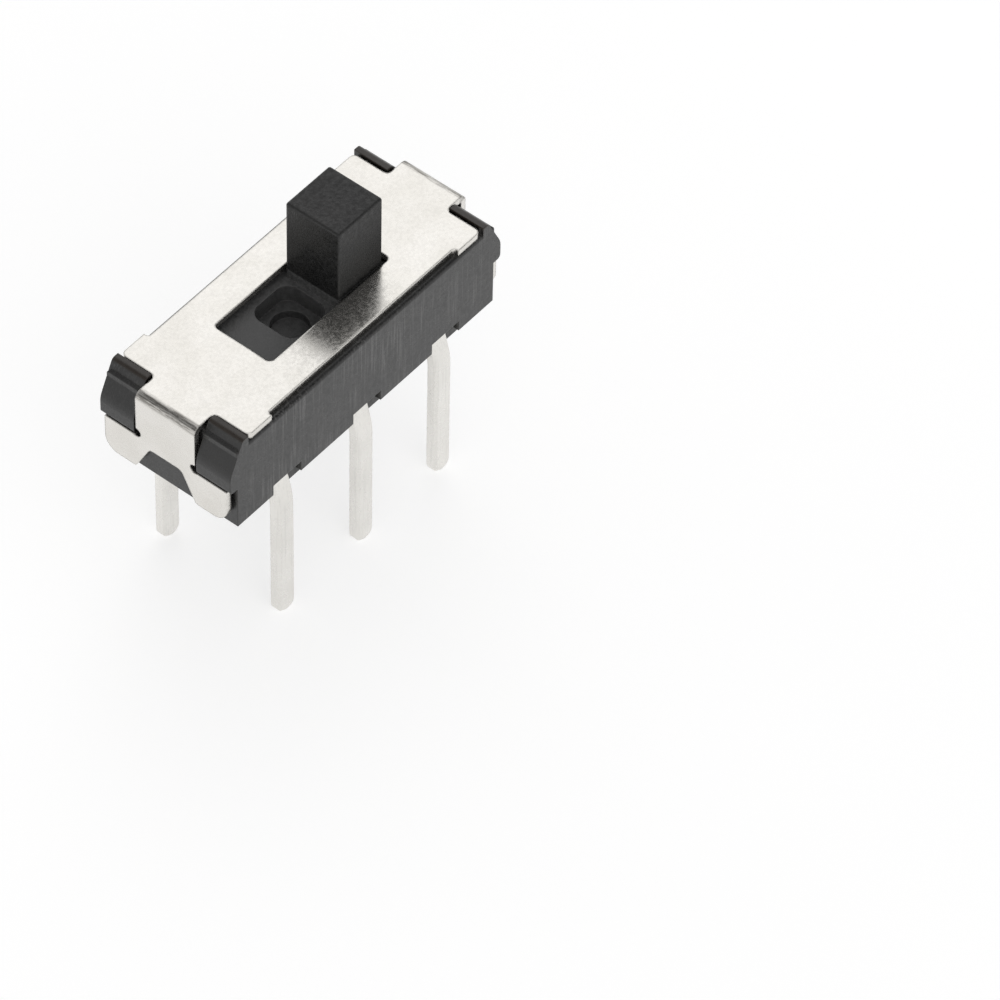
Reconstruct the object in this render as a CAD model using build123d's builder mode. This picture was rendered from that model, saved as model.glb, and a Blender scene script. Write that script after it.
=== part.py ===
from build123d import *
import os

os.makedirs("parts", exist_ok=True)

# All sizes are in millimetres. X runs along the body, the knob rests at the +X end of its window,
# Z points up and the leg tips stand on z = 0.

# Heights, from the leg tips up
leg_reach = 3.44  # leg below the seat of the base
base_drop = 0.55  # base below the lower edge of the housing
frame_z = leg_reach + base_drop  # lower edge of the housing
wall_height = 2.25
sheet = 0.15
seat_z = frame_z + wall_height  # top of the walls, where the cover lies
cover_top = seat_z + sheet

# Plan sizes
pitch = 2.5
body_length = 8.5  # over the bent tabs of the cover
body_width = 3.45
tab_gap = 0.07  # between an end wall and the bent tab
wall_length = body_length - 2 * (sheet + tab_gap)
side_wall = 0.305
run_gap = 0.06  # running clearance of the slider
fit_gap = 0.01  # clearance of the fixed base in the housing

# Chamber of the housing
end_wall = 0.35
thin_wall = 0.15  # end wall where the slider plate runs
room_width = body_width - 2 * side_wall
room_length = wall_length - 2 * thin_wall
plug_length = wall_length - 2 * end_wall
skirt_height = 0.3  # thin lower rim around the base
skirt_wall = 0.15
floor_step = 1.2  # height at which the chamber widens in length
wall_round = 0.1  # upper outer edge of the long walls
end_chamfer = 0.05  # upper outer edge of the end walls

# Corner posts
post_depth = 0.57
post_slant = 0.4  # how far the outer face leans in at its top
post_top = 0.2  # above the seat of the cover
post_knee = 1.62
post_foot = 1.38
knee_radius = 0.55
crown_radius = 0.12
toe_radius = 0.1
cap_thick = 0.05  # of the post below the seat of the cover
post_root = body_length / 2 - post_depth
post_crown = body_length / 2 - post_slant

# Legs and terminals
leg_width = 0.5
leg_thick = 0.3
leg_inset = 0.01  # from the long side of the body
leg_face = body_width / 2 - leg_inset
leg_lean = 0.175  # how far in the leg starts at its bend
lean_drop = 0.6  # height of the leaning part below the housing
bend_radius = 0.2
lean_radius = 1.5
tip_radius = 0.23
leg_edge = 0.06  # bevel round the legs and their tips
groove = 0.19  # depth of the grooves for the legs in the sides of the base
pad_top = 0.2  # above the lower edge of the housing
pad_width = 1.0
pad_inner = 0.22
pad_outer = 1.05
notch_width = 0.86
notch_height = 0.28

# Base
base_length = plug_length - 2 * fit_gap
base_width = room_width - 2 * fit_gap
rim_height = 0.25
rim_wall = 0.2
base_chamfer = 0.06
core_pitch = 2.7
core_row = 0.65
core_size = 0.44
core_depth = 0.3

# Cover
window_length = 3.74
window_width = 1.53
window_radius = 0.12
notch_gap = 0.05  # between the cover and the posts
ledge = 0.15  # wall top left bare beside the middle of the cover
tab_ledge = 0.03  # the same beside the corner tabs
tab_length = 0.71
tab_radius = 0.13
step_radius = 0.08
root_radius = 0.12
bend_outer = 0.18
bend_inner = bend_outer - sheet
plate_end = post_root - notch_gap
plate_edge = body_width / 2 - ledge
tab_edge = body_width / 2 - tab_ledge
tab_start = plate_end - tab_length

# Bent ends of the cover: a neck between two posts, with a foot under each post
neck_half = 0.78
post_inside = neck_half + notch_gap
foot_inset = 0.105  # from the long side of the body
foot_top = 1.13
foot_low = 0.2
foot_radius = 0.36
foot_half = body_width / 2 - foot_inset
cut_height = 0.75
cut_top_half = 0.42
cut_low_half = 0.8
cut_radius = 0.17
cut_toe_radius = 0.1
relief_depth = 0.13
relief_height = 0.24
relief_rise = 0.1  # middle of the relief above the top of the foot

# Slider
travel = 2.0
rest_x = travel / 2
knob_length = 1.38
knob_width = 1.41
knob_rise = 1.9
knob_radius = 0.06
end_gap = 0.04  # between the slider plate and the end wall it stops at
cap_gap = 0.07  # between the slider plate and the caps of the posts
plate_length = room_length - travel - 2 * end_gap
plate_thick = 0.25
plate_top = seat_z - cap_thick - cap_gap
carriage_length = 3.9
carriage_low = frame_z + pad_top + rim_height + run_gap
keel_gap = 0.07
keel_low = frame_z + pad_top + keel_gap
keel_width = 2 * (base_width / 2 - rim_wall - run_gap)
pocket_near = 0.8
pocket_length = 1.17
pocket_width = 1.2
pocket_depth = 0.43
pocket_radius = 0.3
well_radius = 0.42
well_depth = 0.2

# Contact springs
spring_thick = 0.1
spring_width = 0.55
spring_row = 0.68
spring_reach = 1.65
spring_dip = 1.25
spring_middle = 0.4
spring_curl = 0.35  # rise of the free ends
spring_bend = 0.2
spring_gap = 0.02  # above the pads
spring_height = 1.0
channel_side = 0.04
channel_end = 0.15
channel_width = spring_width + 2 * channel_side
channel_length = 2 * (spring_reach + channel_end)
channel_top = frame_z + spring_height

tiny = 1e-3


def edges_at(part, x=None, z=None):
    """Edges along Y whose middle lies at the distance x from the centre and at the height z."""
    found = part.edges().filter_by(Axis.Y)
    if x is not None:
        found = found.filter_by(lambda e: abs(abs(e.center().X) - x) < tiny)
    if z is not None:
        found = found.filter_by(lambda e: abs(e.center().Z - z) < tiny)
    return found


# Cover: flat sheet with the window, both ends bent down into a neck with two feet
with BuildPart() as cover:
    with BuildSketch(Plane.XY.offset(seat_z)) as sheet_plan:
        Rectangle(2 * plate_end, 2 * plate_edge)
        with GridLocations(plate_end + tab_start, tab_edge, 2, 2):
            Rectangle(tab_length, tab_edge)
        Rectangle(body_length, 2 * neck_half)
        corners = sheet_plan.vertices()
        tab_tips = corners.filter_by(lambda v: abs(v.X) > plate_end - tiny and abs(v.Y) > plate_edge)
        fillet(tab_tips, tab_radius)
        roots = sheet_plan.vertices().filter_by(
            lambda v: abs(abs(v.X) - plate_end) < tiny and abs(abs(v.Y) - neck_half) < tiny
        )
        fillet(roots, root_radius)
        steps = sheet_plan.vertices().filter_by(
            lambda v: abs(abs(v.X) - tab_start) < tiny and abs(abs(v.Y) - plate_edge) < tiny
        )
        fillet(steps, step_radius)
        RectangleRounded(window_length, window_width, window_radius, mode=Mode.SUBTRACT)
    extrude(amount=sheet)
    cut_low = frame_z + foot_low
    for side in (-1, 1):
        with BuildSketch(Plane.YZ.offset(side * (body_length - sheet) / 2 - sheet / 2)) as end_face:
            with Locations((0, frame_z + (foot_low + foot_top) / 2)):
                Rectangle(2 * foot_half, foot_top - foot_low)
            fillet(end_face.vertices().sort_by(Axis.Y)[:2], foot_radius)
            with Locations((0, (frame_z + foot_low + cover_top) / 2)):
                Rectangle(2 * neck_half, cover_top - frame_z - foot_low)
            with BuildLine():
                Polyline(
                    (-cut_low_half, cut_low),
                    (-cut_top_half, cut_low + cut_height),
                    (cut_top_half, cut_low + cut_height),
                    (cut_low_half, cut_low),
                    close=True,
                )
            make_face(mode=Mode.SUBTRACT)
            with Locations((0, frame_z + foot_top + relief_rise)):
                with GridLocations(2 * neck_half, 0, 2, 1):
                    SlotOverall(2 * relief_depth, relief_height, mode=Mode.SUBTRACT)
            cut_corners = end_face.vertices().filter_by(
                lambda v: abs(v.Y - cut_low - cut_height) < tiny and abs(v.X) < cut_low_half
            )
            fillet(cut_corners, cut_radius)
            cut_toes = end_face.vertices().filter_by(
                lambda v: abs(abs(v.X) - cut_low_half) < tiny and abs(v.Y - cut_low) < tiny
            )
            fillet(cut_toes, cut_toe_radius)
        extrude(amount=sheet)
    fillet(edges_at(cover, body_length / 2, cover_top), bend_outer)
    fillet(edges_at(cover, body_length / 2 - sheet, seat_z), bend_inner)

# Housing: frame with four corner posts that hold the feet of the cover down
with BuildPart() as housing:
    with BuildSketch(Plane.XY.offset(frame_z)):
        Rectangle(wall_length, body_width)
    extrude(amount=wall_height)
    chamfer(edges_at(housing, wall_length / 2, seat_z), end_chamfer)
    long_edges = housing.edges().filter_by(Axis.X).group_by(Axis.Z)[-1]
    fillet(long_edges, wall_round)
    for side in (-1, 1):
        for face_y in (post_inside, -body_width / 2):
            with BuildSketch(Plane.XZ.offset(face_y)) as post:
                with BuildLine():
                    Polyline(
                        (side * post_root, frame_z + post_foot),
                        (side * post_root, seat_z + post_top),
                        (side * post_crown, seat_z + post_top),
                        (side * body_length / 2, frame_z + post_knee),
                        (side * body_length / 2, frame_z + post_foot),
                        close=True,
                    )
                make_face()
                knee = post.vertices().filter_by(lambda v: abs(v.Y - frame_z - post_knee) < tiny)
                fillet(knee, knee_radius)
                crown = post.vertices().filter_by(lambda v: abs(abs(v.X) - post_crown) < tiny)
                fillet(crown, crown_radius)
                toe = post.vertices().filter_by(
                    lambda v: abs(abs(v.X) - body_length / 2) < tiny
                    and abs(v.Y - frame_z - post_foot) < tiny
                )
                fillet(toe, toe_radius)
            extrude(amount=body_width / 2 - post_inside)
    with BuildSketch(Plane.XY.offset(frame_z)):
        Rectangle(plug_length + 2 * skirt_wall, body_width - 2 * skirt_wall)
    extrude(amount=skirt_height, mode=Mode.SUBTRACT)
    with BuildSketch(Plane.XY.offset(frame_z)):
        Rectangle(plug_length, room_width)
    extrude(amount=wall_height - cap_thick, mode=Mode.SUBTRACT)
    with BuildSketch(Plane.XY.offset(frame_z + floor_step)):
        Rectangle(room_length, room_width)
    extrude(amount=wall_height - cap_thick - floor_step, mode=Mode.SUBTRACT)
    with BuildSketch(Plane.XY.offset(seat_z - cap_thick)):
        Rectangle(2 * post_root, room_width)
        Rectangle(room_length, 2 * post_inside)
    extrude(amount=cap_thick, mode=Mode.SUBTRACT)
    with BuildSketch(Plane.XZ.offset(-body_width / 2)):
        with Locations((0, frame_z + notch_height / 2)):
            with GridLocations(pitch, 0, 3, 1):
                Rectangle(notch_width, notch_height)
    extrude(amount=body_width, mode=Mode.SUBTRACT)

# Base: closes the housing from below and carries the six terminals
with BuildPart() as base:
    with BuildSketch(Plane.XY.offset(leg_reach)):
        Rectangle(base_length, base_width)
    extrude(amount=base_drop + pad_top + rim_height)
    chamfer(base.faces().sort_by(Axis.Z)[0].edges(), base_chamfer)
    with BuildSketch(Plane.XY.offset(frame_z + pad_top)):
        Rectangle(base_length - 2 * rim_wall, base_width - 2 * rim_wall)
    extrude(amount=rim_height, mode=Mode.SUBTRACT)
    with BuildSketch(Plane.XY.offset(leg_reach)):
        with GridLocations(core_pitch, 2 * core_row, 3, 2):
            Rectangle(core_size, core_size)
    extrude(amount=core_depth, mode=Mode.SUBTRACT)
    with BuildSketch(Plane.XY.offset(frame_z + pad_top - leg_thick)):
        with GridLocations(pitch, pad_inner + pad_outer, 3, 2):
            Rectangle(pad_width, pad_outer - pad_inner)
        with GridLocations(pitch, 0, 3, 1):
            with GridLocations(0, pad_outer + body_width / 2, 1, 2):
                Rectangle(leg_width, body_width / 2 - pad_outer)
    extrude(amount=leg_thick, mode=Mode.SUBTRACT)
    with BuildSketch(Plane.XY.offset(leg_reach)):
        with GridLocations(pitch, base_width - groove, 3, 2):
            Rectangle(leg_width, groove)
    extrude(amount=base_drop + pad_top - leg_thick, mode=Mode.SUBTRACT)

# Slider: knob on a plate, carriage with two channels for the springs
with BuildPart() as slider:
    with BuildSketch(Plane.XY.offset(plate_top - plate_thick)):
        with Locations((rest_x, 0)):
            Rectangle(plate_length, room_width - 2 * run_gap)
    extrude(amount=plate_thick)
    with BuildSketch(Plane.XY.offset(carriage_low)):
        with Locations((rest_x, 0)):
            Rectangle(carriage_length, room_width - 2 * run_gap)
    extrude(amount=plate_top - plate_thick - carriage_low)
    with BuildSketch(Plane.XY.offset(keel_low)):
        with Locations((rest_x, 0)):
            Rectangle(carriage_length, keel_width)
    extrude(amount=carriage_low - keel_low)
    with BuildSketch(Plane.XY.offset(plate_top)):
        with Locations((rest_x, 0)):
            Rectangle(knob_length, knob_width)
    extrude(amount=cover_top + knob_rise - plate_top)
    knob_edges = slider.edges().filter_by(lambda e: e.center().Z > cover_top)
    fillet(knob_edges, knob_radius)
    pocket_x = pocket_near + pocket_length / 2
    with BuildSketch(Plane.XY.offset(plate_top)):
        with Locations((rest_x, 0)):
            with GridLocations(2 * pocket_x, 0, 2, 1):
                RectangleRounded(pocket_length, pocket_width, pocket_radius)
    extrude(amount=-pocket_depth, mode=Mode.SUBTRACT)
    with BuildSketch(Plane.XY.offset(plate_top - pocket_depth)):
        with Locations((rest_x, 0)):
            with GridLocations(2 * pocket_x, 0, 2, 1):
                Circle(well_radius)
    extrude(amount=-well_depth, mode=Mode.SUBTRACT)
    with BuildSketch(Plane.XY.offset(keel_low)):
        with Locations((rest_x, 0)):
            with GridLocations(0, 2 * spring_row, 1, 2):
                Rectangle(channel_length, channel_width)
    extrude(amount=channel_top - keel_low, mode=Mode.SUBTRACT)

for piece, name in ((cover, "cover"), (housing, "housing"), (base, "base"), (slider, "slider")):
    piece.part.label = name
    export_step(piece.part, f"parts/{name}.step")

# Terminals: flat pad in the base, strip bent down into a leg
for row, side in (("front", -1), ("back", 1)):
    for place, x in (("left", -pitch), ("middle", 0), ("right", pitch)):
        with BuildPart() as terminal:
            strip_top = frame_z + pad_top
            strip_middle = strip_top - leg_thick / 2
            leg_middle = leg_face - leg_thick / 2
            with BuildSketch(Plane.YZ.offset(x)) as strip:
                with BuildLine(mode=Mode.PRIVATE) as strip_line:
                    FilletPolyline(
                        (side * pad_inner, strip_middle),
                        (side * (leg_middle - leg_lean), strip_middle),
                        (side * leg_middle, frame_z - lean_drop),
                        (side * leg_middle, 0),
                        radius=(bend_radius, lean_radius),
                    )
                trace(strip_line.edges(), leg_thick)
            extrude(amount=leg_width / 2, both=True)
            with BuildSketch(Plane.XZ):
                with Locations((x, tip_radius / 2)):
                    Rectangle(leg_width, tip_radius)
                with Locations((x, leg_width)):
                    RectangleRounded(leg_width, 2 * leg_width, tip_radius, mode=Mode.SUBTRACT)
            extrude(amount=body_width, both=True, mode=Mode.SUBTRACT)
            rim = terminal.edges().filter_by(
                lambda e: abs(abs(e.center().X - x) - leg_width / 2) < tiny
                and e.center().Z < strip_top - leg_thick
            )
            tip = terminal.edges().filter_by(lambda e: e.center().Z < tip_radius)
            tip -= tip.filter_by(Axis.Y)
            chamfer(rim + tip, leg_edge)
            with BuildSketch(Plane.XY.offset(strip_top - leg_thick)):
                with Locations((x, side * (pad_inner + pad_outer) / 2)):
                    Rectangle(pad_width, pad_outer - pad_inner)
            extrude(amount=leg_thick)
        terminal.part.label = f"terminal_{row}_{place}"
        export_step(terminal.part, f"parts/terminal_{row}_{place}.step")

# Contact springs: two dips ride on two neighbouring pads, the middle bears on the channel roof
for row, side in (("front", -1), ("back", 1)):
    with BuildPart() as contact:
        with BuildSketch(Plane.XZ.offset(-side * spring_row)):
            with BuildLine(mode=Mode.PRIVATE) as spring_line:
                roof = channel_top - spring_thick / 2
                dip = frame_z + pad_top + spring_gap + spring_thick / 2
                end = dip + spring_curl
                FilletPolyline(
                    (rest_x - spring_reach, end),
                    (rest_x - spring_dip, dip),
                    (rest_x - spring_middle, roof),
                    (rest_x + spring_middle, roof),
                    (rest_x + spring_dip, dip),
                    (rest_x + spring_reach, end),
                    radius=spring_bend,
                )
            trace(spring_line.edges(), spring_thick)
        extrude(amount=spring_width / 2, both=True)
    contact.part.label = f"contact_{row}"
    export_step(contact.part, f"parts/contact_{row}.step")
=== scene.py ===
import math

import bpy
from mathutils import Matrix, Vector


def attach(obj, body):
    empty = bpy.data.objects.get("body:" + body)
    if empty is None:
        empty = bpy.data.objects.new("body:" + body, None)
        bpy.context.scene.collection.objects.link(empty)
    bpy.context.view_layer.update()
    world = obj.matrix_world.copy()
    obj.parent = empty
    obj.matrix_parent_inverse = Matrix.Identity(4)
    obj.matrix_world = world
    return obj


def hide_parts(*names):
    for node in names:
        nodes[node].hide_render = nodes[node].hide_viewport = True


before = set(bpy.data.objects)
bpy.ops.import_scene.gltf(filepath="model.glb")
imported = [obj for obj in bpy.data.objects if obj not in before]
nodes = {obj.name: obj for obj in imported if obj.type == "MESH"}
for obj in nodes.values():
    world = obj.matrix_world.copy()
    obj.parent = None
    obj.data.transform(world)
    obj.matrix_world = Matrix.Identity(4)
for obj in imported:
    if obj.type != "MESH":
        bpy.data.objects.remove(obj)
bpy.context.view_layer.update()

# Lengths are in mm here and in metres in the scene
MM = 0.001

# Places on the switch: from its middle outwards, or from the leg tips up
COVER_TOP = 6.39  # face of the cover
BEND = 4.07  # where the cover starts to bend down
WALL_END = 4.03  # end walls of the housing
TOE_LOW, TOE_HIGH = 5.30, 5.48  # rounded toes of the corner posts
TOE_DROP = 0.24  # from the toes down to the feet of the cover
SLACK = 0.005  # allowed in comparing places

# Camera, fitted to corners of the switch in the photograph
PHOTO = 1000  # width and height, pixels
TURN = (-51.68, 49.20, -1.43)  # azimuth, elevation and roll, degrees
SCALE = 48.87  # pixels per mm at the middle of the body
DISTANCE = 156.7  # from the middle of the body
MIDDLE = Vector((0, 0, 4.09))
MIDDLE_X, MIDDLE_Y = 302.5, 367.9  # where the photograph shows the middle, pixels
SENSOR = 36  # width of the sensor
NEAR, FAR = 0.001, 10  # what the camera shows, metres

# How noise is drawn out: along the height of a face, or across the switch
UPRIGHT = (1, 1, 0.03)
ACROSS = (1, 0.12, 1)

# Light
RIGHT = (0.784, -0.620, 0)  # to the right in the photograph
STRENGTH = 1.33
FLOOR_HALF = 0.25  # half the floor's width, metres
FLOOR_GLOW = 0.62  # keeps the floor as pale as the photograph's background


def add_camera():
    azimuth, elevation, roll = (math.radians(v) for v in TURN)
    back = Vector((
        math.sin(azimuth) * math.cos(elevation),
        -math.cos(azimuth) * math.cos(elevation),
        math.sin(elevation),
    ))
    level = Vector((math.cos(azimuth), math.sin(azimuth), 0))
    upright = back.cross(level)
    right = level * math.cos(roll) - upright * math.sin(roll)
    up = level * math.sin(roll) + upright * math.cos(roll)
    shift_x = right * (PHOTO / 2 - MIDDLE_X) / SCALE
    shift_y = up * (MIDDLE_Y - PHOTO / 2) / SCALE
    place = MIDDLE + shift_x + shift_y + back * DISTANCE
    data = bpy.data.cameras.new("camera")
    data.sensor_width = SENSOR
    data.lens = SENSOR * SCALE * DISTANCE / PHOTO
    data.clip_start, data.clip_end = NEAR, FAR
    camera = bpy.data.objects.new("camera", data)
    bpy.context.scene.collection.objects.link(camera)
    turn = Matrix((right, up, back)).transposed().to_4x4()
    camera.matrix_world = Matrix.Translation(place * MM) @ turn
    bpy.context.scene.camera = camera


class Nodes:
    """A node tree, built from short calls. What a call takes is an output or a constant."""

    def __init__(self, tree):
        self.tree = tree
        self.coordinates = self.add("ShaderNodeTexCoord").outputs
        self.place = self.coordinates["Object"]

    def add(self, kind, **values):
        node = self.tree.nodes.new(kind)
        for key, value in values.items():
            setattr(node, key, value)
        return node

    def feed(self, socket, value):
        if isinstance(value, bpy.types.NodeSocket):
            self.tree.links.new(value, socket)
        else:
            socket.default_value = value

    def fill(self, node, **inputs):
        for key, value in inputs.items():
            self.feed(node.inputs[key.replace("_", " ")], value)

    def stretched(self, scale):
        """The surface's coordinates, scaled along each axis."""
        node = self.add("ShaderNodeMapping")
        self.fill(node, Vector=self.place, Scale=scale)
        return node.outputs["Vector"]

    def part(self, vector, axis):
        node = self.add("ShaderNodeSeparateXYZ")
        self.feed(node.inputs[0], vector)
        return node.outputs[axis]

    def along(self, axis):
        """One coordinate of the surface, in mm."""
        return self.math("MULTIPLY", self.part(self.place, axis), 1 / MM)

    def noise(self, size, detail=2.0, rough=0.5, place=None):
        """Noise whose features are about size mm across."""
        node = self.add("ShaderNodeTexNoise")
        self.fill(node, Vector=place or self.place, Scale=1 / (size * MM), Detail=detail,
                  Roughness=rough)
        return node.outputs["Fac"]

    def spread(self, value, span, to=(0, 1)):
        """The value between the ends of a span, spread smoothly between the ends of another."""
        node = self.add("ShaderNodeMapRange", interpolation_type="SMOOTHSTEP")
        self.fill(node, Value=value, From_Min=span[0], From_Max=span[1], To_Min=to[0],
                  To_Max=to[1])
        return node.outputs["Result"]

    def mix(self, share, first, second):
        """A colour between two, by the share that the second has."""
        node = self.add("ShaderNodeMix", data_type="RGBA")
        for socket, value in ((0, share), (6, first), (7, second)):
            self.feed(node.inputs[socket], value)
        return node.outputs[2]

    def math(self, kind, *values):
        node = self.add("ShaderNodeMath", operation=kind)
        for socket, value in zip(node.inputs, values):
            self.feed(socket, value)
        return node.outputs[0]

    def dot(self, first, second):
        node = self.add("ShaderNodeVectorMath", operation="DOT_PRODUCT")
        self.feed(node.inputs[0], first)
        self.feed(node.inputs[1], second)
        return node.outputs["Value"]

    def rounded(self, radius):
        """The normal with the edges rounded to a radius in mm."""
        node = self.add("ShaderNodeBevel", samples=6)
        node.inputs["Radius"].default_value = radius * MM
        return node.outputs["Normal"]

    def near_edge(self, rounded, edge, flat):
        """0 on a flat face, 1 on an edge, from how far the rounded normal leans from the face's."""
        normal = self.add("ShaderNodeNewGeometry").outputs["Normal"]
        return self.spread(self.dot(rounded, normal), (flat, edge))

    def bump(self, height, depth, strength, normal):
        node = self.add("ShaderNodeBump")
        self.fill(node, Height=height, Distance=depth * MM, Strength=strength, Normal=normal)
        return node.outputs["Normal"]


class Finish(Nodes):
    """A material's node tree and its shader."""

    def __init__(self, name):
        self.material = bpy.data.materials.new(name)
        self.material.use_nodes = True
        super().__init__(self.material.node_tree)
        self.shader = self.tree.nodes["Principled BSDF"]


def grey(value, warm=0.0):
    return (value * (1 + warm), value, value * (1 - warm), 1)


def dimmed(colour, share):
    return tuple(v * share for v in colour[:3]) + (1,)


def moulded_plastic(name, tone, grain, depth, rough, streaks=0.0, light_below_cover=0.0, edge=0.03):
    """Black plastic with the fine spark-eroded grain of its mould, lighter at its edges: partly
    worn there, partly a painted highlight.

    Grain and depth are the grain's size and relief in mm, and edge is the radius of the edges.
    Rough is the span of roughness. Streaks is how strongly pale streaks show down the walls,
    and a streaked moulding gets painted light, a paler brownish tone, where it reaches above the
    cover. The tone given for the faces below the cover is painted light, paler than the rest.
    """
    m = Finish(name)
    soft = m.rounded(edge)
    cloud = m.noise(0.9, detail=4)
    fine = m.noise(grain, detail=3, rough=0.6)
    speck = m.noise(grain * 0.4, detail=1)
    clouds = m.spread(cloud, (0.35, 0.65))
    specks = m.spread(speck, (0.56, 0.74), to=(0, 0.5))
    base = m.mix(clouds, grey(tone * 0.7), grey(tone * 1.3, 0.04))
    base = m.mix(specks, base, grey(tone * 2.6, 0.03))
    height = m.math("ADD", fine, m.math("MULTIPLY", speck, 0.5))
    if streaks:
        streak = m.noise(0.045, detail=2, place=m.stretched(UPRIGHT))
        lines = m.spread(streak, (0.48, 0.66), to=(0, streaks))
        patches = m.spread(m.noise(1.6, detail=2), (0.4, 0.62), to=(0.15, 1))
        reach = m.math("ABSOLUTE", m.along("X"))
        walls = m.spread(reach, (WALL_END - 0.2, WALL_END), to=(1, 0.2))
        share = m.math("MULTIPLY", m.math("MULTIPLY", lines, patches), walls)
        base = m.mix(share, base, grey(0.095, 0.02))
        # Painted light: the tops above the cover get a paler brownish tone, as lit top faces.
        top_light = m.spread(m.along("Z"), (COVER_TOP - 0.02, COVER_TOP + 0.03), to=(0, 0.85))
        brownish = (0.026, 0.019, 0.014, 1)
        base = m.mix(top_light, base, brownish)
        height = m.math("ADD", height, m.math("MULTIPLY", streak, 0.6))
    # Painted light: the faces below the cover are paler, for the light that reaches them through
    # the window.
    if light_below_cover:
        below = m.spread(m.along("Z"), (COVER_TOP - 0.05, COVER_TOP), to=(1, 0))
        uneven = m.spread(fine, (0.3, 0.7), to=(0.6, 1))
        base = m.mix(m.math("MULTIPLY", below, uneven), base, grey(light_below_cover))
    # Lighter edges: partly wear, partly painted highlight on the rounded edges.
    edges = m.near_edge(soft, 0.80, 0.98)
    patchy = m.spread(fine, (0.4, 0.62), to=(0, 0.7))
    base = m.mix(m.math("MULTIPLY", edges, patchy), base, grey(tone * 4.5, 0.14))
    m.fill(m.shader, Base_Color=base, Roughness=m.spread(fine, (0.3, 0.7), to=rough),
           Normal=m.bump(height, depth, 0.7, soft))
    m.shader.inputs["IOR"].default_value = 1.5
    return m.material


def satin_metal(name, light, dark, rough, grain, depth, edge=0.03, drawn=0.0, shade_bends=False):
    """Metal sheet with a fine mottle between two tones.

    Grain and depth are the mottle's size and relief in mm, and edge is the radius of the edges.
    Rough is the span of roughness. Drawn is how strongly lines show along the height. The sheet
    can get painted shade, in dark streaks, along both end bends where it folds down.
    """
    m = Finish(name)
    soft = m.rounded(edge)
    cloud = m.noise(0.8, detail=3)
    fine = m.noise(grain, detail=2)
    speck = m.noise(grain * 0.45, detail=1)
    clouds = m.spread(cloud, (0.3, 0.7))
    specks = m.spread(speck, (0.6, 0.78), to=(0, 0.25))
    base = m.mix(clouds, dark, light)
    base = m.mix(specks, base, dimmed(dark, 0.86))
    height = m.math("ADD", fine, m.math("MULTIPLY", speck, 0.7))
    if drawn:
        line = m.noise(0.05, detail=2, place=m.stretched(UPRIGHT))
        lines = m.spread(line, (0.5, 0.7), to=(0, drawn))
        base = m.mix(lines, base, dimmed(dark, 0.8))
    # Painted shade along the end bends, in dark streaks, where the sheet folds down.
    if shade_bends:
        reach = m.math("ABSOLUTE", m.along("X"))
        ends = m.spread(reach, (BEND - 0.05, BEND + 0.03))
        face = m.spread(m.along("Z"), (COVER_TOP - 0.19, COVER_TOP - 0.08))
        fold_shade_noise = m.noise(0.05, detail=3, rough=0.65, place=m.stretched(ACROSS))
        fold_shade_streaks = m.spread(fold_shade_noise, (0.40, 0.58), to=(0.30, 0.92))
        share = m.math("MULTIPLY", m.math("MULTIPLY", ends, face), fold_shade_streaks)
        fold_shade = (0.20, 0.19, 0.175, 1)
        base = m.mix(share, base, fold_shade)
    m.fill(m.shader, Base_Color=base, Roughness=m.spread(fine, (0.3, 0.7), to=rough),
           Normal=m.bump(height, depth, 0.5, soft))
    m.shader.inputs["Metallic"].default_value = 1
    return m.material


def lower_toes():
    """The housing, with the toes of its corner posts brought down to the feet of the cover."""
    piece = bpy.data.objects.new("housing_moulding", nodes["housing"].data.copy())
    bpy.context.scene.collection.objects.link(piece)
    for point in piece.data.vertices:
        x, _, z = point.co / MM
        if abs(x) > WALL_END - SLACK and TOE_LOW < z < TOE_HIGH:
            point.co.z -= TOE_DROP * MM
    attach(piece, "switch_body")
    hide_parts("housing")
    return piece


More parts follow.
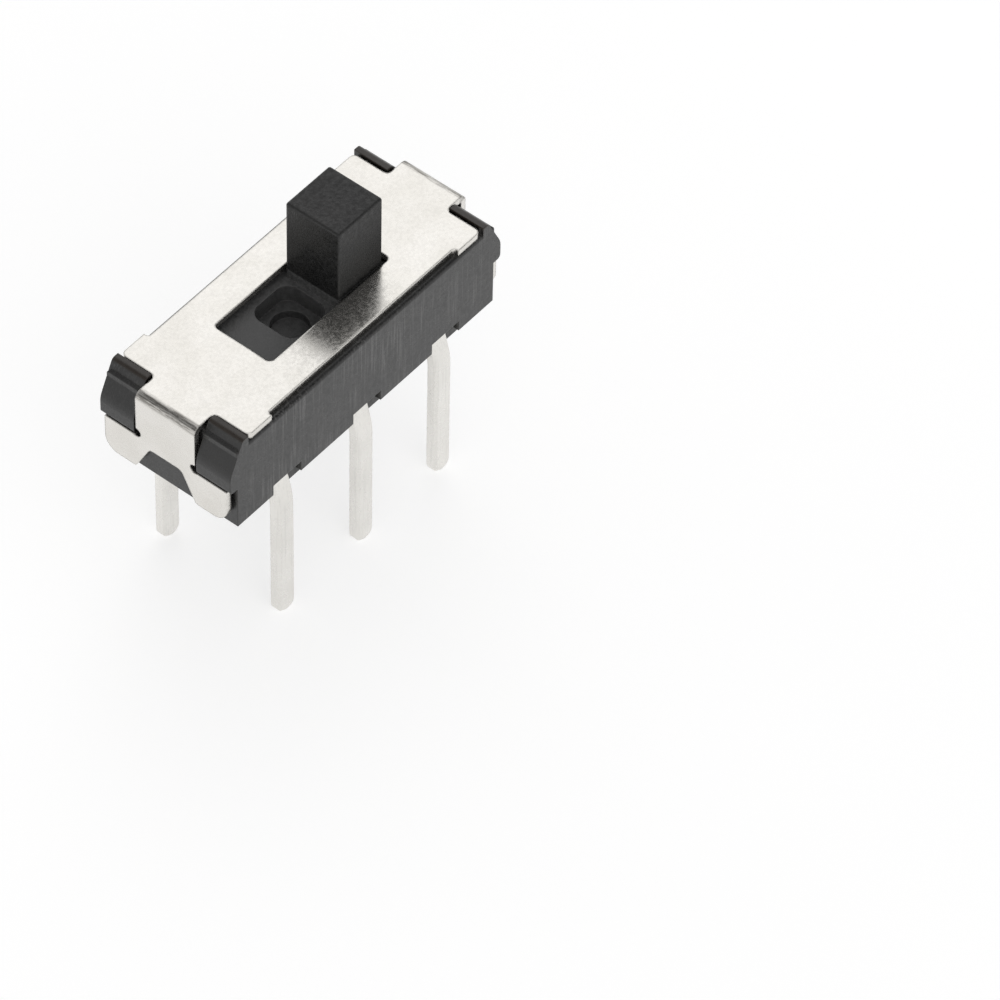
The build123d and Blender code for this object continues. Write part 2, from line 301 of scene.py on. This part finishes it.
def finish_nodes():
    """A material for each piece, found by the first word of its name."""
    looks = {
        "cover": satin_metal(
            "plated_cover", light=(0.74, 0.72, 0.685, 1), dark=(0.69, 0.67, 0.63, 1),
            rough=(0.20, 0.30), grain=0.06, depth=0.0003, edge=0.06, shade_bends=True),
        "terminal": satin_metal(
            "tinned_legs", light=(0.80, 0.785, 0.75, 1), dark=(0.76, 0.745, 0.71, 1),
            rough=(0.24, 0.36), grain=0.2, depth=0.0003, drawn=0.3),
        "contact": satin_metal(
            "sprung_brass", light=(0.80, 0.62, 0.34, 1), dark=(0.70, 0.52, 0.27, 1),
            rough=(0.2, 0.32), grain=0.08, depth=0.0006, edge=0.015),
        "housing": moulded_plastic(
            "housing_plastic", tone=0.0075, grain=0.08, depth=0.0016, rough=(0.26, 0.40),
            streaks=0.55),
        "base": moulded_plastic(
            "base_plastic", tone=0.0085, grain=0.08, depth=0.0016, rough=(0.34, 0.48)),
        "slider": moulded_plastic(
            "slider_plastic", tone=0.0085, grain=0.10, depth=0.0105, rough=(0.36, 0.60),
            light_below_cover=0.085),
    }
    pieces = dict(nodes, housing=lower_toes())
    for name, node in pieces.items():
        for slot in node.material_slots:
            slot.material = looks[name.split("_")[0]]


def add_stage():
    half = FLOOR_HALF
    mesh = bpy.data.meshes.new("floor")
    mesh.from_pydata([(-half, -half, 0), (half, -half, 0), (half, half, 0), (-half, half, 0)],
                     [], [(0, 1, 2, 3)])
    floor = bpy.data.objects.new("floor", mesh)
    bpy.context.scene.collection.objects.link(floor)
    m = Finish("pale_floor")
    base = m.mix(m.noise(12, detail=3), grey(0.54), grey(0.56))
    m.fill(m.shader, Base_Color=base)
    m.shader.inputs["Emission Color"].default_value = (1, 1, 1, 1)
    m.shader.inputs["Emission Strength"].default_value = FLOOR_GLOW
    m.shader.inputs["Roughness"].default_value = 0.9
    m.shader.inputs["Specular IOR Level"].default_value = 0.1
    mesh.materials.append(m.material)


def add_light():
    """A studio of soft light from all round, with two darker flanks above eye level.

    It is a little dimmer low down and overhead. Height and right say how far a direction points
    up and to the right, from -1 to 1.
    """
    world = bpy.data.worlds.new("studio")
    world.use_nodes = True
    w = Nodes(world.node_tree)
    direction = w.coordinates["Generated"]
    height = w.part(direction, "Z")
    right = w.dot(direction, RIGHT)
    low = w.spread(height, (0.36, 0.50), to=(0.76, 1))
    overhead = w.spread(height, (0.80, 0.90), to=(1, 0.62))
    raised = w.spread(height, (0.34, 0.48))
    right_flank = w.spread(right, (0.28, 0.62), to=(0, 0.85))
    left_flank = w.spread(right, (-0.45, 0.05), to=(0.72, 0))
    flanks = w.math("ADD", right_flank, left_flank)
    sides = w.math("SUBTRACT", 1, w.math("MULTIPLY", raised, flanks))
    band = w.math("MULTIPLY", low, overhead)
    light = w.math("MULTIPLY", w.math("MULTIPLY", band, sides), STRENGTH)
    sky = w.tree.nodes["Background"]
    w.feed(sky.inputs["Strength"], light)
    sky.inputs["Color"].default_value = (1, 1, 1, 1)
    bpy.context.scene.world = world
    view = bpy.context.scene.view_settings
    view.view_transform = "Standard"
    view.look = "None"


add_camera()
finish_nodes()
add_stage()
add_light()
